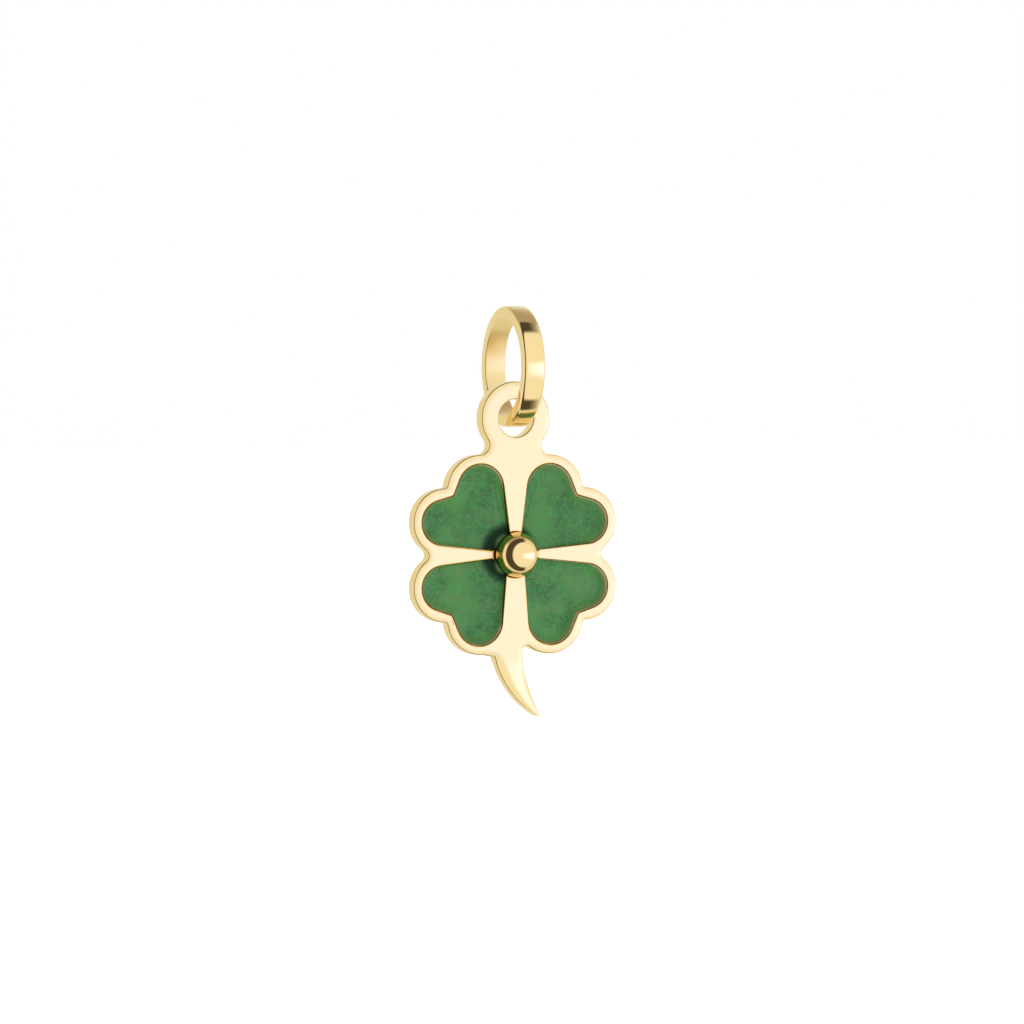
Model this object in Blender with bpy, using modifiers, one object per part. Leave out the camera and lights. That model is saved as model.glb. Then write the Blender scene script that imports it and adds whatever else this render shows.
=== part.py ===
"""Four leaf clover pendant: a gold plate with four enamelled leaves, a bead and a hanging ring.

The pendant hangs upright in the XZ plane and shows its face towards -Y. The origin is the inner
top of the hanging ring, where a chain carries it. Lengths are metres.
"""

import math

import bmesh
import bpy
from mathutils import Matrix, Vector

MM = 0.001

# Hanging ring: a band bent round, crowned outside, standing across the plate
BAIL_OUTER_RADIUS = 2.50 * MM
BAIL_THICKNESS = 0.50 * MM
BAIL_WIDTH = 0.92 * MM
BAIL_CROWN = 0.08 * MM
BAIL_EDGE_ROUND = 0.08 * MM

# Plate, measured from the clover's centre; the leaves are alike on the left and on the right
PLATE_THICKNESS = 0.70 * MM
PLATE_EDGE_ROUND = 0.09 * MM
TIP_LOBE_ACROSS = 1.53 * MM
TIP_LOBE_RISE = 2.63 * MM
TIP_LOBE_RADIUS = 1.50 * MM
SIDE_LOBE_ACROSS = 3.09 * MM
SIDE_LOBE_RISE = 1.35 * MM
SIDE_LOBE_RADIUS = 1.41 * MM
LEAF_CLEFT_FILLET = 0.14 * MM
WAIST_FILLET = 0.30 * MM

# Eyelet on top: its hole lets the ring's lowest stretch through
EYELET_RISE = 5.63 * MM
EYELET_WALL = 0.74 * MM
EYELET_CLEARANCE = 0.25 * MM
RING_DROP = 0.125 * MM
NECK_FILLET = 0.40 * MM

# Stem: a curved horn that leaves the lower edge beside a shoulder and sweeps to the right
STEM_ROOT_LEFT = 0.94 * MM
STEM_ROOT_RIGHT = 0.33 * MM
STEM_ROOT_BELOW_LEAF = 0.02 * MM
STEM_TIP_ACROSS = 1.16 * MM
STEM_TIP_DROP = 6.81 * MM
STEM_OUTER_BOW = 0.37 * MM
STEM_INNER_BOW = 0.15 * MM
STEM_TIP_ROUND = 0.06 * MM
STEM_NOTCH_FILLET = 0.20 * MM
SHOULDER_TURN = math.radians(26.8)
SHOULDER_PROUD = 0.187 * MM
SHOULDER_RADIUS = 0.60 * MM
SHOULDER_FILLET = 0.10 * MM
SHOULDER_BLEND = 0.60 * MM

# Leaf recesses: heart shapes sunk into the face, with a gold rim round them
RECESS_DEPTH = 0.48 * MM
TIP_RIM = 0.38 * MM
SIDE_RIM = 0.38 * MM
TIP_HEART_RADIUS = 1.01 * MM
SIDE_HEART_RADIUS = 0.94 * MM
HEART_CLEFT_FILLET = 0.16 * MM
HEART_CLEFT_CLEARANCE = 0.17 * MM
UPPER_BAR_HALF = 0.16 * MM
LOWER_BAR_HALF = 0.335 * MM
SIDE_BAR_HALF = 0.10 * MM
LOWER_TIP_SHIFT = 0.06 * MM

# Enamel: one inlay a leaf, its surface below the gold face
ENAMEL_SUNK = 0.28 * MM
ENAMEL_GAP = 0.02 * MM

# Bead at the crossing: a ball with a flat foot, let into a round seat as deep as the recesses
BEAD_RADIUS = 0.93 * MM
BEAD_LIFT = 0.11 * MM
BEAD_GAP = 0.02 * MM

# Fineness of the round forms
ARC_STEP = math.radians(9)
ARC_LENGTH = 0.25 * MM
BAIL_ARC_STEP = math.radians(30)
RING_STEPS = 64
BEAD_SEGMENTS = 36
BEAD_RINGS = 18
WELD = 0.001 * MM

# Places worked out from the sizes above
BAIL_INNER_RADIUS = BAIL_OUTER_RADIUS - BAIL_THICKNESS
BAIL_CENTRE = Vector((0, 0, -BAIL_INNER_RADIUS))
BAIL_LOWEST_STRETCH_Z = BAIL_CENTRE.z - BAIL_INNER_RADIUS - BAIL_THICKNESS / 2
EYELET_HOLE_RADIUS = math.hypot(BAIL_WIDTH / 2, BAIL_THICKNESS / 2) + EYELET_CLEARANCE
EYELET_RADIUS = EYELET_HOLE_RADIUS + EYELET_WALL
CLOVER_CENTRE = Vector((0, 0, BAIL_LOWEST_STRETCH_Z + RING_DROP - EYELET_RISE))
FACE_Y = -PLATE_THICKNESS / 2
BEAD_CENTRE = CLOVER_CENTRE + Vector((0, FACE_Y - BEAD_LIFT, 0))
LEAVES = {
    "upper_left": (-1, 1),
    "upper_right": (1, 1),
    "lower_left": (-1, -1),
    "lower_right": (1, -1),
}


def clear_scene():
    for thing in list(bpy.data.objects):
        bpy.data.objects.remove(thing, do_unlink=True)


def new_collection(name):
    collection = bpy.data.collections.new(name)
    bpy.context.scene.collection.children.link(collection)
    return collection


def finish(name, colour, roughness, metallic):
    material = bpy.data.materials.new(name)
    material.use_nodes = True
    shader = material.node_tree.nodes["Principled BSDF"]
    shader.inputs["Base Color"].default_value = (*colour, 1)
    shader.inputs["Roughness"].default_value = roughness
    shader.inputs["Metallic"].default_value = metallic
    material.diffuse_color = (*colour, 1)
    return material


def fillet_centre(first, second, fillet):
    """Centre of the circle of the fillet's radius that touches two circles of an outline.

    A circle is (centre, radius), its radius negative where the metal lies outside it. A positive
    fillet fills a notch from outside and a negative one rounds a corner from inside. Of the two
    circles that touch both, the one further from the clover's centre is meant.
    """
    (start, start_radius), (end, end_radius) = first, second
    reach_start = abs(start_radius + fillet)
    reach_end = abs(end_radius + fillet)
    across = end - start
    distance = across.length
    along = (distance**2 + reach_start**2 - reach_end**2) / (2 * distance)
    aside = math.sqrt(reach_start**2 - along**2)
    across.normalize()
    foot = start + across * along
    normal = Vector((across.y, -across.x))
    return max((foot + normal * aside, foot - normal * aside), key=lambda centre: centre.length)


def arc(centre, radius, start, end, turn, step_angle=ARC_STEP):
    """Points from start to end round a centre; turn is 1 for counterclockwise, -1 for clockwise."""
    first = math.atan2(start.y - centre.y, start.x - centre.x)
    last = math.atan2(end.y - centre.y, end.x - centre.x)
    sweep = ((last - first) * turn) % math.tau
    steps = max(math.ceil(sweep / step_angle), math.ceil(sweep * abs(radius) / ARC_LENGTH))
    angles = (first + turn * sweep * step / steps for step in range(steps + 1))
    return [centre + Vector((math.cos(angle), math.sin(angle))) * abs(radius) for angle in angles]


def touch_point(circle, other_centre):
    centre, radius = circle
    return centre + (other_centre - centre).normalized() * abs(radius)


def turn_of(radius):
    return 1 if radius > 0 else -1


def without_repeats(points):
    kept = [points[0]]
    for point in points[1:]:
        if (point - kept[-1]).length > WELD:
            kept.append(point)
    if (kept[0] - kept[-1]).length <= WELD:
        kept.pop()
    return kept


def chained_outline(circles, fillets):
    """Closed counterclockwise outline of circles, each joined to the next one by its fillet."""
    count = len(circles)
    centres = [
        fillet_centre(circles[index], circles[(index + 1) % count], fillets[index])
        for index in range(count)
    ]
    points = []
    for index, (circle, fillet) in enumerate(zip(circles, fillets)):
        begin = touch_point(circle, centres[index - 1])
        finish_point = touch_point(circle, centres[index])
        following = touch_point(circles[(index + 1) % count], centres[index])
        points += arc(*circle, begin, finish_point, turn_of(circle[1]))
        points += arc(centres[index], fillet, finish_point, following, -turn_of(fillet))
    return without_repeats(points)


def bowed_edge(start, end, bow):
    """Circle of the edge from start to end that bows outwards, or inwards if bow is negative."""
    chord = end - start
    radius = (chord.length**2 / 4 + bow**2) / (2 * abs(bow))
    outwards = Vector((chord.y, -chord.x)).normalized()
    side = turn_of(bow)
    centre = (start + end) / 2 - outwards * side * (radius - abs(bow))
    return centre, side * radius


def plate_outline():
    """Clover with its eyelet and stem, counterclockwise from the stem's right side."""
    tip_lobes = {}
    side_lobes = {}
    for leaf, (x_sign, z_sign) in LEAVES.items():
        tip_lobes[leaf] = Vector((TIP_LOBE_ACROSS * x_sign, TIP_LOBE_RISE * z_sign))
        side_lobes[leaf] = Vector((SIDE_LOBE_ACROSS * x_sign, SIDE_LOBE_RISE * z_sign))
    root_drop = TIP_LOBE_RISE + TIP_LOBE_RADIUS + STEM_ROOT_BELOW_LEAF
    root_left = Vector((-STEM_ROOT_LEFT, -root_drop))
    root_right = Vector((STEM_ROOT_RIGHT, -root_drop))
    shoulder_way = Vector((math.sin(SHOULDER_TURN), -math.cos(SHOULDER_TURN)))
    shoulder_reach = TIP_LOBE_RADIUS + SHOULDER_PROUD - SHOULDER_RADIUS
    shoulder = tip_lobes["lower_left"] + shoulder_way * shoulder_reach
    tip = Vector((STEM_TIP_ACROSS, -STEM_TIP_DROP))
    chain = [
        ((tip_lobes["lower_right"], TIP_LOBE_RADIUS), LEAF_CLEFT_FILLET),
        ((side_lobes["lower_right"], SIDE_LOBE_RADIUS), WAIST_FILLET),
        ((side_lobes["upper_right"], SIDE_LOBE_RADIUS), LEAF_CLEFT_FILLET),
        ((tip_lobes["upper_right"], TIP_LOBE_RADIUS), NECK_FILLET),
        ((Vector((0, EYELET_RISE)), EYELET_RADIUS), NECK_FILLET),
        ((tip_lobes["upper_left"], TIP_LOBE_RADIUS), LEAF_CLEFT_FILLET),
        ((side_lobes["upper_left"], SIDE_LOBE_RADIUS), WAIST_FILLET),
        ((side_lobes["lower_left"], SIDE_LOBE_RADIUS), LEAF_CLEFT_FILLET),
        ((tip_lobes["lower_left"], TIP_LOBE_RADIUS), SHOULDER_BLEND),
        ((shoulder, SHOULDER_RADIUS), SHOULDER_FILLET),
        (bowed_edge(root_left, tip, STEM_OUTER_BOW), -STEM_TIP_ROUND),
        (bowed_edge(tip, root_right, -STEM_INNER_BOW), STEM_NOTCH_FILLET),
    ]
    circles, fillets = zip(*chain)
    return chained_outline(circles, fillets)


def tangent_point(corner, centre, radius, side):
    """Where the straight line from a corner touches a circle, on its right (1) or left (-1)."""
    towards = corner - centre
    angle = math.acos(radius / towards.length) * side
    direction = towards.normalized()
    direction.rotate(Matrix.Rotation(angle, 2))
    return centre + direction * radius


def line_between(first, second, side):
    """Ends of the straight line that touches two circles and leaves one of them on each side."""
    (start, start_radius), (end, end_radius) = first, second
    towards = end - start
    angle = math.acos((start_radius + end_radius) / towards.length) * side
    direction = towards.normalized()
    direction.rotate(Matrix.Rotation(angle, 2))
    return start + direction * start_radius, end - direction * end_radius


def heart_outline(x_sign, z_sign):
    """Recess of one leaf: two lobes, straight edges to a rounded cleft, and a point."""
    lower = z_sign < 0
    corner = Vector((LOWER_BAR_HALF if lower else UPPER_BAR_HALF, SIDE_BAR_HALF))
    tip_rise = TIP_LOBE_RISE + TIP_LOBE_RADIUS - TIP_RIM - TIP_HEART_RADIUS
    tip_lobe = Vector((TIP_LOBE_ACROSS + (LOWER_TIP_SHIFT if lower else 0), tip_rise))
    side_across = SIDE_LOBE_ACROSS + SIDE_LOBE_RADIUS - SIDE_RIM - SIDE_HEART_RADIUS
    side_lobe = Vector((side_across, SIDE_LOBE_RISE))
    side_circle = (side_lobe, SIDE_HEART_RADIUS)
    tip_circle = (tip_lobe, TIP_HEART_RADIUS)
    stand_off = HEART_CLEFT_FILLET + HEART_CLEFT_CLEARANCE
    cleft = fillet_centre(side_circle, tip_circle, stand_off)
    cleft_circle = (cleft, HEART_CLEFT_FILLET)
    leaves_side, enters_cleft = line_between(side_circle, cleft_circle, -1)
    meets_tip, leaves_cleft = line_between(tip_circle, cleft_circle, 1)
    first = tangent_point(corner, side_lobe, SIDE_HEART_RADIUS, 1)
    last = tangent_point(corner, tip_lobe, TIP_HEART_RADIUS, -1)
    points = [corner]
    points += arc(side_lobe, SIDE_HEART_RADIUS, first, leaves_side, 1)
    points += arc(cleft, HEART_CLEFT_FILLET, enters_cleft, leaves_cleft, -1)
    points += arc(tip_lobe, TIP_HEART_RADIUS, meets_tip, last, 1)
    points = without_repeats(points)
    placed = [Vector((point.x * x_sign, point.y * z_sign)) for point in points]
    return placed if x_sign * z_sign > 0 else placed[::-1]


def inset(points, distance):
    """The same counterclockwise outline, moved inwards by a distance on every side."""
    moved = []
    for index, point in enumerate(points):
        before = (point - points[index - 1]).normalized()
        after = (points[(index + 1) % len(points)] - point).normalized()
        normal_before = Vector((-before.y, before.x))
        normal_after = Vector((-after.y, after.x))
        mitre = (normal_before + normal_after).normalized()
        moved.append(point + mitre * (distance / mitre.dot(normal_after)))
    return moved


def curve_mesh(name, outlines, depth, edge_round):
    """Closed mesh of a filled flat curve, lying in local XY and centred on its thickness."""
    curve = bpy.data.curves.new(name, "CURVE")
    curve.dimensions = "2D"
    curve.fill_mode = "BOTH"
    curve.extrude = depth / 2 - edge_round
    curve.bevel_depth = edge_round
    curve.bevel_resolution = 1
    curve.offset = -edge_round
    for outline in outlines:
        spline = curve.splines.new("POLY")
        spline.points.add(len(outline) - 1)
        for target, point in zip(spline.points, outline):
            target.co = (point.x, point.y, 0, 1)
        spline.use_cyclic_u = True
    drawn = bpy.data.objects.new(name, curve)
    bpy.context.scene.collection.objects.link(drawn)
    bpy.context.view_layer.update()
    evaluated = drawn.evaluated_get(bpy.context.evaluated_depsgraph_get())
    mesh = bpy.data.meshes.new_from_object(evaluated)
    bpy.data.objects.remove(drawn, do_unlink=True)
    bpy.data.curves.remove(curve)
    solid = bmesh.new()
    solid.from_mesh(mesh)
    bmesh.ops.remove_doubles(solid, verts=solid.verts, dist=WELD)
    bmesh.ops.recalc_face_normals(solid, faces=solid.faces)
    solid.to_mesh(mesh)
    solid.free()
    return mesh


def place(name, mesh, collection, place_at, material=None, upright=True):
    """Object of a mesh; upright turns a flat piece's XY plane into the pendant's XZ plane."""
    thing = bpy.data.objects.new(name, mesh)
    collection.objects.link(thing)
    thing.location = place_at
    if upright:
        thing.rotation_euler = (math.radians(90), 0, 0)
    if material:
        mesh.materials.clear()
        mesh.materials.append(material)
        mesh.shade_smooth()
        mesh.set_sharp_from_angle(angle=math.radians(35))
    else:
        thing.hide_render = True
        thing.display_type = "WIRE"
    return thing


def cut(thing, cutter):
    boolean = thing.modifiers.new(cutter.name, "BOOLEAN")
    boolean.operation = "DIFFERENCE"
    boolean.solver = "EXACT"
    boolean.object = cutter


def bead_mesh(name, radius, foot_depth):
    """Ball with its poles on local Z and a flat foot, foot_depth under the gold face."""
    mesh = bpy.data.meshes.new(name)
    ball = bmesh.new()
    bmesh.ops.create_uvsphere(ball, u_segments=BEAD_SEGMENTS, v_segments=BEAD_RINGS, radius=radius)
    whole = ball.verts[:] + ball.edges[:] + ball.faces[:]
    foot = Vector((0, 0, -BEAD_LIFT - foot_depth))
    bmesh.ops.bisect_plane(ball, geom=whole, plane_co=foot, plane_no=(0, 0, -1), clear_outer=True)
    rim = [edge for edge in ball.edges if edge.is_boundary]
    bmesh.ops.contextual_create(ball, geom=rim)
    bmesh.ops.recalc_face_normals(ball, faces=ball.faces)
    ball.to_mesh(mesh)
    ball.free()
    return mesh


def bail_profile():
    """Section of the band, counterclockwise: x across it, y outwards from its middle."""
    reach = BAIL_WIDTH / 2 - BAIL_EDGE_ROUND
    crown_radius = ((BAIL_WIDTH / 2) ** 2 + BAIL_CROWN**2) / (2 * BAIL_CROWN)
    crown_centre = Vector((0, BAIL_THICKNESS / 2 - crown_radius))
    outer_rise = math.sqrt((crown_radius - BAIL_EDGE_ROUND) ** 2 - reach**2)
    outer = crown_centre + Vector((reach, outer_rise))
    inner = Vector((reach, BAIL_EDGE_ROUND - BAIL_THICKNESS / 2))
    across = Vector((BAIL_EDGE_ROUND, 0))
    inwards = Vector((0, -BAIL_EDGE_ROUND))
    crown_end = crown_centre + (outer - crown_centre).normalized() * crown_radius
    crown_start = Vector((-crown_end.x, crown_end.y))
    right = arc(inner, BAIL_EDGE_ROUND, inner + inwards, inner + across, 1, BAIL_ARC_STEP)
    right += arc(outer, BAIL_EDGE_ROUND, outer + across, crown_end, 1, BAIL_ARC_STEP)
    crown = arc(crown_centre, crown_radius, crown_end, crown_start, 1, BAIL_ARC_STEP)
    left = [Vector((-point.x, point.y)) for point in reversed(right)]
    return without_repeats(right + crown + left)


def make_bail(collection, material):
    """Band turned once round the X axis."""
    middle = BAIL_OUTER_RADIUS - BAIL_THICKNESS / 2
    section = bail_profile()
    mesh = bpy.data.meshes.new("bail")
    edges = [(index, (index + 1) % len(section)) for index in range(len(section))]
    mesh.from_pydata([(point.x, 0, middle + point.y) for point in section], edges, [])
    bail = place("bail", mesh, collection, BAIL_CENTRE, material, upright=False)
    screw = bail.modifiers.new("turn", "SCREW")
    screw.axis = "X"
    screw.angle = math.tau
    screw.steps = RING_STEPS
    screw.render_steps = RING_STEPS
    screw.use_merge_vertices = True
    screw.merge_threshold = WELD
    screw.use_smooth_shade = True
    return bail


def make_plate(collection, cutters, material):
    hole = [
        Vector((math.cos(angle), math.sin(angle))) * EYELET_HOLE_RADIUS + Vector((0, EYELET_RISE))
        for angle in (ARC_STEP * step for step in range(round(math.tau / ARC_STEP)))
    ]
    outlines = [plate_outline(), hole[::-1]]
    mesh = curve_mesh("clover_plate", outlines, PLATE_THICKNESS, PLATE_EDGE_ROUND)
    plate = place("clover_plate", mesh, collection, CLOVER_CENTRE, material)
    for leaf, signs in LEAVES.items():
        recess = curve_mesh(f"recess_{leaf}", [heart_outline(*signs)], 2 * RECESS_DEPTH, 0)
        at = CLOVER_CENTRE + Vector((0, FACE_Y, 0))
        cut(plate, place(f"recess_{leaf}", recess, cutters, at))
    seat = bead_mesh("bead_seat", BEAD_RADIUS + BEAD_GAP, RECESS_DEPTH)
    cut(plate, place("bead_seat", seat, cutters, BEAD_CENTRE))
    return plate


def make_enamel(leaf, signs, collection, cutters, material):
    depth = RECESS_DEPTH - ENAMEL_SUNK - ENAMEL_GAP
    outline = inset(heart_outline(*signs), ENAMEL_GAP)
    mesh = curve_mesh(f"enamel_{leaf}", [outline], depth, 0)
    at = CLOVER_CENTRE + Vector((0, FACE_Y + ENAMEL_SUNK + depth / 2, 0))
    enamel = place(f"enamel_{leaf}", mesh, collection, at, material)
    cut(enamel, cutters.objects["bead_seat"])
    return enamel


def make_pendant():
    clear_scene()
    parts = new_collection("four_leaf_clover_pendant")
    cutters = new_collection("cutters")
    gold = {
        name: finish(name, (0.93, 0.72, 0.34), roughness, 1.0)
        for name, roughness in (("bail_gold", 0.12), ("plate_gold", 0.10), ("bead_gold", 0.08))
    }
    enamel_green = finish("enamel_green", (0.04, 0.25, 0.06), 0.18, 0.0)
    swing_axis = bpy.data.objects.new("clover_swing_axis", None)
    swing_axis.empty_display_size = BAIL_OUTER_RADIUS
    parts.objects.link(swing_axis)
    swing_axis.location = BAIL_CENTRE
    make_bail(parts, gold["bail_gold"])
    hanging = [make_plate(parts, cutters, gold["plate_gold"])]
    for leaf, signs in LEAVES.items():
        hanging.append(make_enamel(leaf, signs, parts, cutters, enamel_green))
    bead = bead_mesh("centre_bead", BEAD_RADIUS, RECESS_DEPTH - BEAD_GAP)
    hanging.append(place("centre_bead", bead, parts, BEAD_CENTRE, gold["bead_gold"]))
    for piece in hanging:
        piece.parent = swing_axis
        piece.matrix_parent_inverse = Matrix.Translation(-BAIL_CENTRE)
    bpy.context.view_layer.update()


make_pendant()
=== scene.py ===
"""Four leaf clover pendant: a polished gold plate with green enamel leaves, a bead and a ring."""

import math

import bmesh
import bpy
from mathutils import Matrix, Vector


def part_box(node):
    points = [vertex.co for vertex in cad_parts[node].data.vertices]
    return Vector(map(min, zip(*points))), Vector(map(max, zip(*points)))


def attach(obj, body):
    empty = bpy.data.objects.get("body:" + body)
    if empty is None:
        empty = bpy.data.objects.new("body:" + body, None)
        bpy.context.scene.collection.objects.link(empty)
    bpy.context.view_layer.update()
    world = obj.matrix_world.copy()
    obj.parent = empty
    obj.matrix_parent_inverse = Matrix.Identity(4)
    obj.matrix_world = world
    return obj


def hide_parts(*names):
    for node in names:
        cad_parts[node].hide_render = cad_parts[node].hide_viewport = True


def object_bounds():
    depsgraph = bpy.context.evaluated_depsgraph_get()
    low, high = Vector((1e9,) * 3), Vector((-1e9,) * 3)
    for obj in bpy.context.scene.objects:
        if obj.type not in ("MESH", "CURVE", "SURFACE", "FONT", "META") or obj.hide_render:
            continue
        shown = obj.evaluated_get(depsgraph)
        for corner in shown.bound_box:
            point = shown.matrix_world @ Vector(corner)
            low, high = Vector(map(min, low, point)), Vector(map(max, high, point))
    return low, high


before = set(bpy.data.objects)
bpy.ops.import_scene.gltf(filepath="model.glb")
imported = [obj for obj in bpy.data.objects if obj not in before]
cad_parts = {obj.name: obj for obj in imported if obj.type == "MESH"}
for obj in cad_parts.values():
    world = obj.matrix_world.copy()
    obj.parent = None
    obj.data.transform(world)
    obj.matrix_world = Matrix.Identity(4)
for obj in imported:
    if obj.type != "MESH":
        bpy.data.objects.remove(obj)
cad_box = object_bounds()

MM = 0.001

# Camera: it looks at the pendant from the left and a little above, as in the photograph. The
# picture's scale holds in the plane of the gold face.
PIXELS_PER_MM = 24.24
PICTURE_PIXELS = 1024
SENSOR_MM = 36
CAMERA_TURN = math.radians(-21.7)
CAMERA_RISE = math.radians(1.75)
CAMERA_DISTANCE = 180 * MM
NEAREST_SEEN = 1 * MM
FARTHEST_SEEN = 10
CLOVER_IN_PICTURE = (516.1, 554.6)
CLOVER_CENTRE = Vector((0, 0, -9.755 * MM))

plate_low, plate_high = (Vector(corner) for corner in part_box("clover_plate"))
FACE_Y = plate_low.y
BACK_Y = plate_high.y

towards_camera = Vector(
    (
        math.sin(CAMERA_TURN) * math.cos(CAMERA_RISE),
        -math.cos(CAMERA_TURN) * math.cos(CAMERA_RISE),
        math.sin(CAMERA_RISE),
    )
)
picture_right = Vector((0, 0, 1)).cross(towards_camera).normalized()
picture_up = towards_camera.cross(picture_right)
aim = CLOVER_CENTRE + Vector((0, FACE_Y, 0))
aim += picture_right * (PICTURE_PIXELS / 2 - CLOVER_IN_PICTURE[0]) / PIXELS_PER_MM * MM
aim += picture_up * (CLOVER_IN_PICTURE[1] - PICTURE_PIXELS / 2) / PIXELS_PER_MM * MM
frame_width_mm = PICTURE_PIXELS / PIXELS_PER_MM
camera_data = bpy.data.cameras.new("picture_camera")
camera_data.sensor_width = SENSOR_MM
camera_data.lens = SENSOR_MM * CAMERA_DISTANCE / MM / frame_width_mm
camera_data.clip_start = NEAREST_SEEN
camera_data.clip_end = FARTHEST_SEEN
camera = bpy.data.objects.new("picture_camera", camera_data)
bpy.context.collection.objects.link(camera)
camera.location = aim + towards_camera * CAMERA_DISTANCE
camera.rotation_euler = towards_camera.to_track_quat("Z", "Y").to_euler()
bpy.context.scene.camera = camera
bpy.context.scene.view_settings.view_transform = "Standard"


# Studio: a white floor under the hanging pendant, and soft light all round it. A wide soft panel
# stands in front, and between it and the pale room behind is the dim gap that polished gold
# mirrors as brown bands.
FLOOR_DROP = 14 * MM
FLOOR_SIZE = 3
FLOOR_GREY = (0.90, 0.90, 0.90, 1)
FLOOR_PALE_GREY = (0.94, 0.94, 0.94, 1)
FLOOR_ROUGHNESS = 0.8
FLOOR_GLOW = 0.65


class Wire:
    """A node's output in a shader. Arithmetic on wires adds the Math nodes that work it out."""

    def __init__(self, tree, socket=None):
        self.tree = tree
        self.socket = socket

    def node(self, kind, settings=None, values=None, output=0):
        """A new node of this kind with its settings, then the values or wires of its sockets."""
        made = self.tree.nodes.new(kind)
        for name, setting in (settings or {}).items():
            setattr(made, name, setting)
        for name, value in (values or {}).items():
            if isinstance(value, Wire):
                self.tree.links.new(value.socket, made.inputs[name])
            else:
                made.inputs[name].default_value = value
        return Wire(self.tree, made.outputs[output])

    def maths(self, operation, *values):
        """A Math node on these values or wires."""
        return self.node("ShaderNodeMath", {"operation": operation}, dict(enumerate(values)))

    def __add__(self, other):
        return self.maths("ADD", self, other)

    def __mul__(self, other):
        return self.maths("MULTIPLY", self, other)

    def __rsub__(self, other):
        return self.maths("SUBTRACT", other, self)

    __radd__ = __add__

    def rise(self, low, high, bottom=0):
        """A smooth step from bottom to one while this value goes from low to high."""
        return self.node(
            "ShaderNodeMapRange",
            {"interpolation_type": "SMOOTHSTEP"},
            {"Value": self, "From Min": low, "From Max": high, "To Min": bottom},
        )

    def mix(self, first, second):
        """Two colours mixed by this value."""
        values = {0: self, 6: first, 7: second}
        return self.node("ShaderNodeMix", {"data_type": "RGBA"}, values, output=2)

    def facing(self, direction):
        """Cosine between this direction and a fixed one."""
        values = {0: self, 1: direction}
        return self.node("ShaderNodeVectorMath", {"operation": "DOT_PRODUCT"}, values, "Value")


def heading(turn, rise):
    """Direction at an angle to the right of straight out of the face, and above the horizon."""
    turn = math.radians(turn)
    rise = math.radians(rise)
    return (math.sin(turn) * math.cos(rise), -math.cos(turn) * math.cos(rise), math.sin(rise))


def cosine(degrees):
    return math.cos(math.radians(degrees))


PANEL_HEADING = heading(18.7, 1)
PANEL_REACH = 62.7
PANEL_SOFTNESS = 4
ROOM_HEADING = heading(7.2, 1)
ROOM_REACH = 89.2
ROOM_SOFTNESS = 2.5
ROOM_TOP_LEVELS = (0.35, 0.90)
WINDOW_FADE = (0.55, 0.85)
HOT_HEADING = heading(50, -4)
HOT_REACH = (50, 14)
HOT_LEVELS = (-0.42, -0.10, 0.02, 0.20)
GAP_FADE = (0.34, 0.60)
GAP_COLOUR = (0.085, 0.070, 0.060, 1)
PANEL_COLOUR = (1.02, 1.02, 1.02, 1)
HOT_COLOUR = (1.62, 1.52, 2.30, 1)
BRIDGE_COLOUR = (0.88, 0.87, 0.86, 1)
ROOM_COLOUR = (0.86, 0.85, 0.72, 1)
ROOM_TOP_COLOUR = (0.47, 0.41, 0.37, 1)
WINDOW_COLOUR = (1.00, 0.96, 0.92, 1)
WHITE = (1, 1, 1, 1)

world = bpy.data.worlds.new("studio")
bpy.context.scene.world = world
world.use_nodes = True
sky = Wire(world.node_tree)
direction = sky.node("ShaderNodeTexCoord", output="Generated")
panel = direction.facing(PANEL_HEADING).rise(
    cosine(PANEL_REACH + PANEL_SOFTNESS), cosine(PANEL_REACH - PANEL_SOFTNESS)
)
room = 1 - direction.facing(ROOM_HEADING).rise(
    cosine(ROOM_REACH + ROOM_SOFTNESS), cosine(ROOM_REACH - ROOM_SOFTNESS)
)
height = direction.facing((0, 0, 1))
hot = direction.facing(HOT_HEADING).rise(*map(cosine, HOT_REACH))
hot = hot * height.rise(*HOT_LEVELS[:2]) * (1 - height.rise(*HOT_LEVELS[2:]))
gap = direction.facing((1, 0, 0)).rise(*GAP_FADE).mix(GAP_COLOUR, BRIDGE_COLOUR)
light = panel.mix(gap, hot.mix(PANEL_COLOUR, HOT_COLOUR))
beyond = height.rise(*ROOM_TOP_LEVELS).mix(ROOM_COLOUR, ROOM_TOP_COLOUR)
beyond = direction.facing((-1, 0, 0)).rise(*WINDOW_FADE).mix(beyond, WINDOW_COLOUR)
light = room.mix(light, beyond)
seen = sky.node("ShaderNodeLightPath", output="Is Camera Ray").mix(light, WHITE)
world.node_tree.links.new(seen.socket, world.node_tree.nodes["Background"].inputs["Color"])

bpy.ops.object.select_all(action="DESELECT")
floor_z = cad_box[0][2] - FLOOR_DROP
bpy.ops.mesh.primitive_plane_add(size=FLOOR_SIZE, location=(0, 0, floor_z))
floor = bpy.context.active_object
floor.name = "studio_floor"
bpy.ops.object.transform_apply(location=True, rotation=True, scale=True)
floor_paper = bpy.data.materials.new("floor_paper")
floor_paper.use_nodes = True
paper = Wire(floor_paper.node_tree)
paper_shader = floor_paper.node_tree.nodes["Principled BSDF"]
where = paper.node("ShaderNodeTexCoord", output="Object")
grain = paper.node("ShaderNodeTexNoise", None, {"Vector": where, "Scale": 900, "Detail": 3})
tone = grain.mix(FLOOR_GREY, FLOOR_PALE_GREY)
floor_paper.node_tree.links.new(tone.socket, paper_shader.inputs["Base Color"])
paper_shader.inputs["Roughness"].default_value = FLOOR_ROUGHNESS
paper_shader.inputs["Emission Color"].default_value = WHITE
paper_shader.inputs["Emission Strength"].default_value = FLOOR_GLOW
floor.data.materials.append(floor_paper)
# The gold mirrors the studio's light and not the floor.
floor.visible_glossy = False


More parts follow.
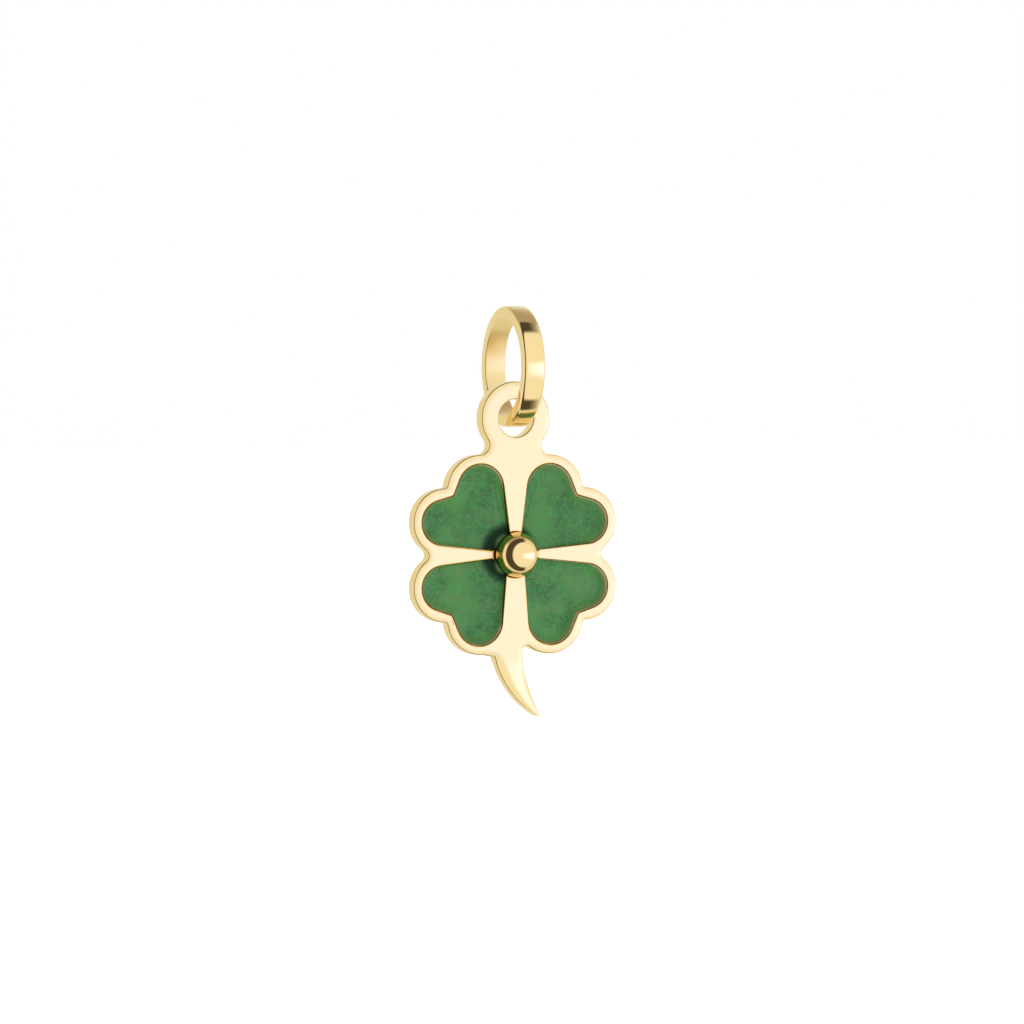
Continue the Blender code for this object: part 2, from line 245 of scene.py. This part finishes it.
# Hanging ring: a band of yellow gold, crowned outside and flat inside, bent round, soldered and
# polished. It stands across the plate and passes through the eyelet.
RING_CENTRE = Vector((0, 0, -2.00 * MM))
RING_OUTER_RADIUS = 2.50 * MM
RING_THICKNESS = 0.50 * MM
RING_WIDTH = 0.92 * MM
RING_CROWN = 0.03 * MM
RING_EDGE_ROUND = 0.12 * MM
RING_INNER_ROUND = 0.08 * MM
RING_STEPS = 192
RING_ROUND_STEPS = 6
RING_CROWN_CUTS = 10
RING_SATIN_EDGE = (2.03 * MM, 2.12 * MM)
RING_ROUGHNESS = 0.07
WELD = 0.0001 * MM
GOLD = (0.93, 0.725, 0.355)
DEEPER_SHARES = (0.99, 0.975, 0.93)
# The satin faces are really rougher; their paler, whiter tint is painted sheen, the bright panel
# they mirror.
SATIN_PAINTED_SHEEN_GOLD = (0.955, 0.775, 0.43)
SATIN_ROUGHNESS = 0.28
HAZE_ROUGHNESS = 0.03
HAIRLINE_ROUGHNESS = 0.03
# Painted reflection: the orange glint of gold mirrored in gold along the recess rims.
PAINTED_GLINT_ORANGE = (0.95, 0.56, 0.10)


def start_piece(name):
    """Names what a primitive has just made and opens it in edit mode."""
    piece = bpy.context.active_object
    piece.name = name
    piece.data.name = name
    bpy.ops.object.mode_set(mode="EDIT")
    return piece


def pick(piece, kind, wanted):
    """Selects the piece's vertices, edges or faces that the wanted test holds for."""
    bpy.ops.mesh.select_mode(type={"verts": "VERT", "edges": "EDGE", "faces": "FACE"}[kind])
    bpy.ops.mesh.select_all(action="DESELECT")
    shape = bmesh.from_edit_mesh(piece.data)
    for element in getattr(shape, kind):
        if wanted(element):
            element.select_set(True)
    shape.select_flush_mode()
    bmesh.update_edit_mesh(piece.data)


def close_piece(piece, smooth_angle=35):
    """Leaves edit mode with the piece's place in its mesh and its round forms shaded smooth."""
    bpy.ops.object.mode_set(mode="OBJECT")
    bpy.ops.object.select_all(action="DESELECT")
    piece.select_set(True)
    bpy.context.view_layer.objects.active = piece
    bpy.ops.object.transform_apply(location=True, rotation=True, scale=True)
    bpy.ops.object.shade_smooth_by_angle(angle=math.radians(smooth_angle))


def gold_finish(name, roughness, satin=None, satin_painted_sheen_colour=GOLD, painted_glint=None):
    """Polished yellow gold: faint tone drifts, haze and hairlines, paler satin, painted glint.

    Satin is a function that gives the share of satin at a place with a normal. The satin is
    rougher, and its paler colour is painted sheen. The last argument names the attribute that
    gives each vertex's share of orange glint, a painted reflection of gold in gold on the recess
    rims.
    """
    material = bpy.data.materials.new(name)
    material.use_nodes = True
    gold = Wire(material.node_tree)
    shader = material.node_tree.nodes["Principled BSDF"]
    place = gold.node("ShaderNodeTexCoord", output="Object")
    normal = gold.node("ShaderNodeNewGeometry", output="Normal")
    drift = gold.node("ShaderNodeTexNoise", None, {"Vector": place, "Scale": 350, "Detail": 2})
    deeper = tuple(part * share for part, share in zip(GOLD, DEEPER_SHARES))
    tone = drift.rise(0.3, 0.7).mix((*GOLD, 1), (*deeper, 1))
    haze = gold.node("ShaderNodeTexNoise", None, {"Vector": place, "Scale": 2600, "Detail": 4})
    hair_place = gold.node(
        "ShaderNodeMapping", None,
        {"Vector": place, "Rotation": (0, 0.5, 0), "Scale": (40, 200, 9000)},
    )
    hair = gold.node("ShaderNodeTexNoise", None, {"Vector": hair_place, "Scale": 1, "Detail": 2})
    polish = roughness + haze.rise(0.35, 0.75) * HAZE_ROUGHNESS
    polish = polish + hair.rise(0.62, 0.72) * HAIRLINE_ROUGHNESS
    if satin:
        share = satin(place, normal)
        # The satin's paler colour is painted sheen.
        tone = share.mix(tone, (*satin_painted_sheen_colour, 1))
        polish = polish + share * SATIN_ROUGHNESS
    if painted_glint:
        # The orange glint on the recess rims is a painted reflection.
        glint_share = gold.node("ShaderNodeAttribute", {"attribute_name": painted_glint}, output="Fac")
        tone = glint_share.mix(tone, (*PAINTED_GLINT_ORANGE, 1))
    links = material.node_tree.links
    links.new(tone.socket, shader.inputs["Base Color"])
    links.new(polish.socket, shader.inputs["Roughness"])
    shader.inputs["Metallic"].default_value = 1
    bump = gold.node(
        "ShaderNodeBump", None, {"Height": haze, "Strength": 0.02, "Distance": 0.02 * MM}
    )
    links.new(bump.socket, shader.inputs["Normal"])
    return material


ring_middle = RING_OUTER_RADIUS - RING_THICKNESS / 2
bpy.ops.object.select_all(action="DESELECT")
bpy.ops.mesh.primitive_plane_add(
    size=1, location=RING_CENTRE + Vector((0, 0, ring_middle)), rotation=(math.radians(90), 0, 0)
)
bpy.context.active_object.scale = (RING_WIDTH, RING_THICKNESS, 1)
bpy.ops.object.transform_apply(location=True, rotation=True, scale=True)
ring = start_piece("hanging_ring")
ring_top = RING_CENTRE.z + RING_OUTER_RADIUS
for rounding, side in ((RING_EDGE_ROUND, 1), (RING_INNER_ROUND, -1)):
    corner = ring_middle + side * RING_THICKNESS / 2
    pick(ring, "verts", lambda v: abs(v.co.z - RING_CENTRE.z - corner) < WELD)
    bpy.ops.mesh.bevel(
        offset=rounding, segments=RING_ROUND_STEPS, affect="VERTICES", clamp_overlap=True
    )
pick(ring, "edges", lambda edge: all(abs(v.co.z - ring_top) < WELD for v in edge.verts))
bpy.ops.mesh.subdivide(number_cuts=RING_CROWN_CUTS)
section = bmesh.from_edit_mesh(ring.data)
for vertex in section.verts:
    height = (vertex.co.z - RING_CENTRE.z - ring_middle) / (RING_THICKNESS / 2)
    if height > 0:
        vertex.co.z -= height * RING_CROWN * (vertex.co.x / (RING_WIDTH / 2)) ** 2
bmesh.ops.delete(section, geom=section.faces[:], context="FACES_ONLY")
bmesh.update_edit_mesh(ring.data)
bpy.ops.mesh.select_all(action="SELECT")
bpy.ops.mesh.spin(steps=RING_STEPS, angle=math.tau, center=RING_CENTRE, axis=(1, 0, 0))
bpy.ops.mesh.select_all(action="SELECT")
bpy.ops.mesh.remove_doubles(threshold=WELD)
bpy.ops.mesh.normals_make_consistent(inside=False)
close_piece(ring)


def inside_of_ring(place, normal):
    """One on the ring's inside, which only the drawplate has smoothed, and none further out."""
    around = place.node(
        "ShaderNodeVectorMath", {"operation": "SUBTRACT"}, {0: place, 1: RING_CENTRE}
    )
    spoke = around.node(
        "ShaderNodeVectorMath", {"operation": "MULTIPLY"}, {0: around, 1: (0, 1, 1)}
    )
    radius = spoke.node("ShaderNodeVectorMath", {"operation": "LENGTH"}, {0: spoke}, "Value")
    return 1 - radius.rise(*RING_SATIN_EDGE)


ring.data.materials.append(gold_finish("bail_gold", RING_ROUGHNESS, inside_of_ring))
# The plate mirrors the studio's light and not the ring.
ring.visible_glossy = False
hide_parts("bail")
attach(ring, "bail")


# Clover plate: sheet gold, stamped with four heart-shaped recesses, the eyelet and the stem in
# one piece. Tumbling and polishing have softened its outer edge, and the stem is a little domed.
# Its mesh is worked in millimetres.
# Both faces are cut off at this depth and built again with their rims.
CUT_DEPTH = 0.21
EDGE_ROUND = 0.085
EDGE_WIDTH = 0.25
EDGE_DROP = 0.025
STEM_WIDTH = 0.48
STEM_DROP = 0.12
STEM_TOP = -4.0
STEM_FULL = -4.7
STEM_FINISH_Z = (-14.9 * MM, -13.9 * MM)
STEM_SATIN = 0.35
SATIN_FACING = (0.88, 0.97)
HOLE_ROUND = 0.09
RECESS_ROUND = 0.06
RECESS_LEAN = 0.6
# Depth below the face over which the painted orange glint on the recess rims comes in.
PAINTED_GLINT_DEPTH = 0.010
EDGE_SUPPORT = 0.048
RIM_SUPPORT = 0.12
# An edge takes this share of the room inside the outline. A few points along the outline, this
# near to each other, don't narrow the room.
ROOM_SHARE = 0.75
NEXT_POINTS = 2
NEXT_REACH = 0.10
EASE_PASSES = 3
LEAST_MITRE = 0.5
LEAST_FACET = 0.12
FOUR_POINT_DIVISOR = 16
BEAD_SEAT_RADIUS = 0.944
RECESS_START = 1.5
IN_MM = 1 / MM
LEVEL_MARGIN = 0.0001
FLAT_ANGLE = math.radians(0.2)
PLATE_ROUGHNESS = 0.09
EDGE_ANGLES = (0, 18, 36, 54, 73)
RIM_ANGLES = (0, 18, 36, 54, 72, 90)
SLOPE_STEPS = (0.2, 0.4, 0.6, 0.8, 1.0)


def copy_of_node(node_name, piece_name):
    """A piece that starts as a CAD node's merged mesh, open in edit mode, in millimetres."""
    bpy.ops.object.select_all(action="DESELECT")
    piece = bpy.data.objects.new(piece_name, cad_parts[node_name].data.copy())
    piece.data.name = piece_name
    piece.data.materials.clear()
    piece.data.transform(Matrix.Scale(IN_MM, 4))
    piece.scale = (MM, MM, MM)
    bpy.context.collection.objects.link(piece)
    piece.select_set(True)
    bpy.context.view_layer.objects.active = piece
    bpy.ops.object.mode_set(mode="EDIT")
    bpy.ops.mesh.select_all(action="SELECT")
    bpy.ops.mesh.remove_doubles(threshold=LEVEL_MARGIN)
    bpy.ops.mesh.customdata_custom_splitnormals_clear()
    bpy.ops.mesh.dissolve_limited(angle_limit=FLAT_ANGLE)
    return piece


def next_open(vertex, before):
    """The vertex that follows this one along an open rim, coming from the one before."""
    ends = [edge.other_vert(vertex) for edge in vertex.link_edges if edge.is_boundary]
    return next(end for end in ends if end is not before)


def round_facets(piece, levels):
    """Halves each wide facet of the wall between two levels, so that it follows its curve.

    The four-point rule lifts a facet's middle onto the curve that runs through the facet's ends
    and the two points beyond them.
    """
    heights = {round(level, 3) for level in levels}

    def wide_facet(edge):
        if not edge.is_boundary or edge.calc_length() <= LEAST_FACET:
            return False
        first, second = edge.verts
        wall = {round(vertex.co.y, 3) for vertex in edge.link_faces[0].verts}
        return abs(first.co.y - second.co.y) < LEVEL_MARGIN and wall == heights

    pick(piece, "edges", wide_facet)
    shape = bmesh.from_edit_mesh(piece.data)
    corners = {tuple(vertex.co) for vertex in shape.verts}
    bpy.ops.mesh.subdivide(number_cuts=1)
    shape = bmesh.from_edit_mesh(piece.data)
    lifts = {}
    for middle in shape.verts:
        if tuple(middle.co) in corners:
            continue
        ends = [edge.other_vert(middle) for edge in middle.link_edges if edge.is_boundary]
        beyond = [next_open(end, middle) for end in ends]
        beyond = [
            point if tuple(point.co) in corners else next_open(point, end)
            for point, end in zip(beyond, ends)
        ]
        along = (ends[1].co - ends[0].co).normalized()
        lift = (ends[0].co + ends[1].co - beyond[0].co - beyond[1].co) / FOUR_POINT_DIVISOR
        lifts[middle.index] = lift - along * lift.dot(along)
    for vertex in shape.verts:
        if vertex.index in lifts:
            vertex.co += lifts[vertex.index]
    bmesh.update_edit_mesh(piece.data)


def open_rims(piece, level):
    """The places of each open edge loop at this depth, in order."""
    shape = bmesh.from_edit_mesh(piece.data)
    beside = {}
    for edge in shape.edges:
        if edge.is_boundary and all(abs(v.co.y - level) < LEVEL_MARGIN for v in edge.verts):
            first, second = edge.verts
            beside.setdefault(first, []).append(second)
            beside.setdefault(second, []).append(first)
    rims = []
    while beside:
        rim = [next(iter(beside))]
        while True:
            onward = [v for v in beside.pop(rim[-1]) if v in beside]
            if not onward:
                break
            rim.append(onward[0])
        rims.append([vertex.co.copy() for vertex in rim])
    return rims


def into_metal(points, outer):
    """For each point of a closed rim, the step that moves the rim one unit into the metal.

    Outer says that the rim goes round the metal, and not round an opening in it.
    """
    area = sum(a.x * b.y - a.y * b.x for a, b in zip(points, points[1:] + points[:1]))
    turn = 1 if (area > 0) == outer else -1
    steps = []
    for index, point in enumerate(points):
        before = (point - points[index - 1]).normalized()
        after = (points[(index + 1) % len(points)] - point).normalized()
        middle = (before.orthogonal() + after.orthogonal()).normalized()
        steps.append(middle * (turn / max(middle.dot(after.orthogonal()), LEAST_MITRE)))
    return steps


def room_inside(points, steps, index):
    """Radius of the largest circle inside the outline that touches it at one point."""
    inwards = steps[index].normalized()
    radius = math.inf
    for place, other in enumerate(points):
        across = other - points[index]
        apart = min(abs(place - index), len(points) - abs(place - index))
        ahead = across.dot(inwards)
        if ahead > LEVEL_MARGIN and (apart > NEXT_POINTS or across.length > NEXT_REACH):
            radius = min(radius, across.length_squared / (2 * ahead))
    return radius


def edge_shares(points, steps, widths):
    """The share of the edge's width that there is room for at each point, eased along it."""
    shares = [
        min(1, ROOM_SHARE * room_inside(points, steps, index) / width)
        for index, width in enumerate(widths)
    ]
    for turn in range(EASE_PASSES):
        triples = zip(shares[-1:] + shares[:-1], shares, shares[1:] + shares[:1])
        shares = [min(share, sum(triple) / 3) for share, triple in zip(shares, triples)]
    return shares


def edge_rings(points, steps):
    """Rings of the outer edge: the (distance in, depth) of each point, ring by ring.

    The edge is rounded first and then slopes up to the flat face, widest and deepest on the stem.
    """
    stems = [min(max((point.y - STEM_TOP) / (STEM_FULL - STEM_TOP), 0), 1) for point in points]
    stems = [stem * stem * (3 - 2 * stem) for stem in stems]
    widths = [EDGE_WIDTH + (STEM_WIDTH - EDGE_WIDTH) * stem for stem in stems]
    drops = [EDGE_DROP + (STEM_DROP - EDGE_DROP) * stem for stem in stems]
    edges = [
        (width * share, drop * share, EDGE_ROUND * share)
        for width, drop, share in zip(widths, drops, edge_shares(points, steps, widths))
    ]
    rings = []
    for angle in map(math.radians, EDGE_ANGLES):
        rings.append(
            [
                (rounding * (1 - math.cos(angle)), drop + rounding * (1 - math.sin(angle)))
                for width, drop, rounding in edges
            ]
        )
    start = rings[-1]
    for step in SLOPE_STEPS:
        rings.append(
            [
                (near + (width - near) * step, depth * (1 - step) ** 2)
                for (near, depth), (width, drop, rounding) in zip(start, edges)
            ]
        )
    rings.append([(width * (1 + EDGE_SUPPORT), 0) for width, drop, rounding in edges])
    return rings


def round_rings(roundings):
    """Rings of a rounded inner rim, from the rounding at each of its points."""
    rings = []
    for angle in map(math.radians, RIM_ANGLES):
        near = 1 - math.cos(angle)
        depth = 1 - math.sin(angle)
        rings.append([(rounding * near, rounding * depth) for rounding in roundings])
    rings.append([(rounding * (1 + RIM_SUPPORT), 0) for rounding in roundings])
    return rings


def flat_points(rim):
    """A rim's points seen from the front, measured from the clover's centre."""
    return [Vector((place.x, place.z - CLOVER_CENTRE.z * IN_MM)) for place in rim]


def grow_rings(piece, places, points, steps, rings, face, lift, painted_glint=0):
    """Extrudes an open rim ring by ring to the rings' distances and depths. Gives the last one.

    Lift is the way along Y that the depths go from the flat face. The last argument is how
    strongly the orange glint, a painted reflection, is painted on the gold below the face.
    """
    chain = {tuple(place) for place in places}
    pick(piece, "edges", lambda e: e.is_boundary and all(tuple(v.co) in chain for v in e.verts))
    for ring in rings:
        moved = [
            Vector(
                (
                    point.x + step.x * near,
                    face + lift * depth,
                    point.y + step.y * near + CLOVER_CENTRE.z * IN_MM,
                )
            )
            for point, step, (near, depth) in zip(points, steps, ring)
        ]
        # The painted orange glint grows with depth below the face.
        glint_shares = [painted_glint * min(depth / PAINTED_GLINT_DEPTH, 1) for near, depth in ring]
        spots = dict(zip(map(tuple, places), zip(moved, glint_shares)))
        bpy.ops.mesh.extrude_edges_move()
        shape = bmesh.from_edit_mesh(piece.data)
        layers = shape.verts.layers.float
        layer = layers.get("painted_glint") or layers.new("painted_glint")
        for vertex in shape.verts:
            if vertex.select:
                vertex.co, vertex[layer] = spots[tuple(vertex.co)]
        bmesh.update_edit_mesh(piece.data)
        places = moved
    return places


def close_face(piece, places):
    """Fills the flat face that these rims enclose."""
    chain = {tuple(place) for place in places}
    pick(piece, "edges", lambda e: e.is_boundary and all(tuple(v.co) in chain for v in e.verts))
    bpy.ops.mesh.fill(use_beauty=True)


def finish_side(piece, level, face):
    """Grows the rims at this depth up to the flat face and closes the face.

    The recess rims are rounder on the left of each leaf than on its right.
    """
    lift = 1 if level > face else -1
    rims = open_rims(piece, level)
    flats = [flat_points(rim) for rim in rims]
    outer = max(range(len(rims)), key=lambda index: max(point.x for point in flats[index]))
    last_places = []
    for index, points in enumerate(flats):
        steps = into_metal(points, index == outer)
        painted_glint = 0
        if index == outer:
            rings = edge_rings(points, steps)
        elif min(point.length for point in points) < RECESS_START:
            points = [
                point.normalized() * BEAD_SEAT_RADIUS if point.length < BEAD_SEAT_RADIUS else point
                for point in points
            ]
            leans = [step.normalized().x * RECESS_LEAN for step in steps]
            rings = round_rings([RECESS_ROUND * (1 - lean) for lean in leans])
            # The recess rims get the painted orange glint.
            painted_glint = 1
        else:
            rings = round_rings([HOLE_ROUND] * len(points))
        last_places += grow_rings(piece, rims[index], points, steps, rings, face, lift, painted_glint)
    close_face(piece, last_places)


def flat_faces(place, normal):
    """One on the flat front and back, which are finished satin. Less on the stem and edges."""
    across = place.node("ShaderNodeSeparateXYZ", None, {0: normal}, "Y")
    level = place.node("ShaderNodeSeparateXYZ", None, {0: place}, "Z")
    above_stem = level.rise(*STEM_FINISH_Z, bottom=STEM_SATIN)
    return across.maths("ABSOLUTE", across).rise(*SATIN_FACING) * above_stem


plate = copy_of_node("clover_plate", "clover_body")
front_level = FACE_Y * IN_MM + CUT_DEPTH
back_level = BACK_Y * IN_MM - CUT_DEPTH
for level, towards in ((front_level, -1), (back_level, 1)):
    bpy.ops.mesh.select_all(action="SELECT")
    bpy.ops.mesh.bisect(
        plane_co=(0, level * MM, 0), plane_no=(0, towards, 0), clear_outer=True, threshold=1e-9
    )
round_facets(plate, (front_level, back_level))
finish_side(plate, front_level, FACE_Y * IN_MM)
finish_side(plate, back_level, BACK_Y * IN_MM)
bpy.ops.mesh.select_all(action="SELECT")
bpy.ops.mesh.normals_make_consistent(inside=False)
close_piece(plate)
plate.data.materials.append(
    gold_finish("plate_gold", PLATE_ROUGHNESS, flat_faces, SATIN_PAINTED_SHEEN_GOLD, "painted_glint")
)
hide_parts("clover_plate")
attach(plate, "clover")


# Centre bead: a turned gold ball with a flat foot, let into a seat where the four bars meet and
# soldered from the back, polished to a mirror.
BEAD_RADIUS = 0.93 * MM
BEAD_RISE = 0.11 * MM
BEAD_FOOT_DEPTH = 0.46 * MM
BEAD_CENTRE = CLOVER_CENTRE + Vector((0, FACE_Y - BEAD_RISE, 0))
BEAD_FOOT_Y = FACE_Y + BEAD_FOOT_DEPTH
BEAD_FOOT_BEVEL = 0.04 * MM
BEAD_ROUGHNESS = 0.03

bpy.ops.object.select_all(action="DESELECT")
bpy.ops.mesh.primitive_uv_sphere_add(
    segments=96, ring_count=48, radius=BEAD_RADIUS, location=BEAD_CENTRE,
    rotation=(math.radians(90), 0, 0)
)
bead = start_piece("centre_bead_ball")
bpy.ops.mesh.bisect(
    plane_co=(0, BEAD_FOOT_Y, 0), plane_no=(0, 1, 0), clear_outer=True, use_fill=True,
    threshold=WELD
)
bpy.ops.mesh.bevel(offset=BEAD_FOOT_BEVEL, segments=3, affect="EDGES", clamp_overlap=True)
bpy.ops.mesh.select_all(action="SELECT")
bpy.ops.mesh.normals_make_consistent(inside=False)
close_piece(bead)
bead.data.materials.append(gold_finish("bead_gold", BEAD_ROUGHNESS))
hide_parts("centre_bead")
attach(bead, "clover")


# Enamel leaves: green glass fired into the recesses, lower than the gold, with a soft rise
# where the melt wetted the walls. Fine grit and cloudy patches show in the translucent glass,
# which painted shade darkens by the bead, for the ball's shadow and dark reflection.
# Each step is a distance from the wall and how high the glass stands there, in millimetres.
MELT_STEPS = (
    (0, 0.25), (0.016, 0.16), (0.04, 0.095), (0.07, 0.062), (0.12, 0.042),
    (0.20, 0.025), (0.32, 0.01), (0.44, 0.003), (0.56, 0),
)
MELT_WIDTH = MELT_STEPS[-1][0]
# Heights over the flat glass at which its colour and shine change.
MELT_FLAT = 0.015 * MM
MELT_DULL = 0.07 * MM
MELT_RISEN = 0.10 * MM
MELT_BROWN = 0.15 * MM
# Painted shade by the bead: its centre, and the distances over which it fades out.
SHADE_CENTRE = CLOVER_CENTRE + Vector((-0.22 * MM, 0, 0.06 * MM))
SHADE_REACH = (1.02 * MM, 1.42 * MM)
DEEP_GREEN = (0.018, 0.100, 0.016, 1)
LIGHT_GREEN = (0.056, 0.200, 0.034, 1)
MILKY_GREEN = (0.110, 0.205, 0.060, 1)
GRIT_GREEN = (0.036, 0.300, 0.036, 1)
FLECK_GREEN = (0.085, 0.140, 0.040, 1)
SHADED_GREEN = (0.002, 0.026, 0.005, 1)
RISEN_GREEN = (0.17, 0.29, 0.10, 1)
WALL_TOP_BROWN = (0.66, 0.47, 0.28, 1)
MILKY_SHARE = 0.45
GRIT_SHARE = 0.62
FLECK_SHARE = 0.35
ENAMEL_ROUGHNESS = 0.45
GOLD_SHINE = 0.5
SHADED_COAT = 0.1
CLEAR_COAT_GAIN = 0.4
CLOUD_SWELL = 0.85
GRIT_SWELL = 0.15


def enamel_finish():
    """Green glass with cloudy patches, bright grit and dull flecks, browner where it rises by the
    walls.
    """
    material = bpy.data.materials.new("enamel_green")
    material.use_nodes = True
    glass = Wire(material.node_tree)
    shader = material.node_tree.nodes["Principled BSDF"]
    place = glass.node("ShaderNodeTexCoord", output="Object")
    clouds = glass.node(
        "ShaderNodeTexNoise", None, {"Vector": place, "Scale": 560, "Detail": 3, "Roughness": 0.55}
    )
    streak_place = glass.node(
        "ShaderNodeMapping", None,
        {"Vector": place, "Rotation": (0, 0.3, 0), "Scale": (320, 1, 1100)},
    )
    streaks = glass.node(
        "ShaderNodeTexNoise", None, {"Vector": streak_place, "Scale": 1, "Detail": 2}
    )
    grit = glass.node(
        "ShaderNodeTexNoise", None, {"Vector": place, "Scale": 8500, "Detail": 2, "Roughness": 0.7}
    )
    flecks = glass.node("ShaderNodeTexNoise", None, {"Vector": place, "Scale": 8000, "Detail": 1})
    from_bead = glass.node(
        "ShaderNodeVectorMath", {"operation": "DISTANCE"}, {0: place, 1: SHADE_CENTRE}, "Value"
    )
    level = glass.node("ShaderNodeSeparateXYZ", None, {0: place}, "Y")
    body = clouds.rise(0.34, 0.66).mix(DEEP_GREEN, LIGHT_GREEN)
    body = (streaks.rise(0.46, 0.70) * MILKY_SHARE).mix(body, MILKY_GREEN)
    body = (grit.rise(0.36, 0.68) * GRIT_SHARE).mix(body, GRIT_GREEN)
    body = (flecks.rise(0.50, 0.64) * FLECK_SHARE).mix(body, FLECK_GREEN)
    # Painted shade: the glass darkens towards the bead, for the ball's shadow and dark reflection.
    clear = from_bead.rise(*SHADE_REACH)
    body = clear.mix(SHADED_GREEN, body)
    flat_y = ENAMEL_TOP_Y - MELT_FLAT
    risen_y = ENAMEL_TOP_Y - MELT_RISEN
    body = level.rise(risen_y, flat_y).mix(RISEN_GREEN, body)
    # The glass is brown where it rises highest by the walls.
    body = level.rise(ENAMEL_TOP_Y - MELT_BROWN, risen_y).mix(WALL_TOP_BROWN, body)
    links = material.node_tree.links
    links.new(body.socket, shader.inputs["Base Color"])
    # The gold under the glass shines through it, but not where the glass has risen.
    flat = level.rise(ENAMEL_TOP_Y - MELT_DULL, flat_y)
    links.new((flat * GOLD_SHINE).socket, shader.inputs["Metallic"])
    shader.inputs["Specular IOR Level"].default_value = 0.15
    shader.inputs["Roughness"].default_value = ENAMEL_ROUGHNESS
    # The coat is weaker in the painted shade by the bead, so the glass mirrors less light there.
    coat = clear * CLEAR_COAT_GAIN + SHADED_COAT
    links.new(coat.socket, shader.inputs["Coat Weight"])
    shader.inputs["Coat Roughness"].default_value = 0.08
    height = clouds * CLOUD_SWELL + grit * GRIT_SWELL
    bump = glass.node(
        "ShaderNodeBump", None, {"Height": height, "Strength": 0.15, "Distance": 0.08 * MM}
    )
    links.new(bump.socket, shader.inputs["Normal"])
    return material


ENAMEL_TOP_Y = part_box("enamel_upper_left")[0][1]
enamel_green = enamel_finish()
for leaf in ("upper_left", "upper_right", "lower_left", "lower_right"):
    node_name = f"enamel_{leaf}"
    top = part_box(node_name)[0][1] * IN_MM
    enamel = copy_of_node(node_name, f"enamel_leaf_{leaf}")
    pick(enamel, "faces", lambda face: all(abs(v.co.y - top) < LEVEL_MARGIN for v in face.verts))
    bpy.ops.mesh.delete(type="FACE")
    rim = open_rims(enamel, top)[0]
    points = flat_points(rim)
    steps = into_metal(points, True)
    shares = edge_shares(points, steps, [MELT_WIDTH] * len(points))
    rings = [
        [(near * share, -rise * share) for share in shares] for near, rise in MELT_STEPS
    ]
    rings.append([(near * (1 + EDGE_SUPPORT), 0) for near, depth in rings[-1]])
    close_face(enamel, grow_rings(enamel, rim, points, steps, rings, top, 1))
    bpy.ops.mesh.select_all(action="SELECT")
    bpy.ops.mesh.normals_make_consistent(inside=False)
    close_piece(enamel)
    enamel.data.materials.append(enamel_green)
    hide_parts(node_name)
    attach(enamel, "clover")
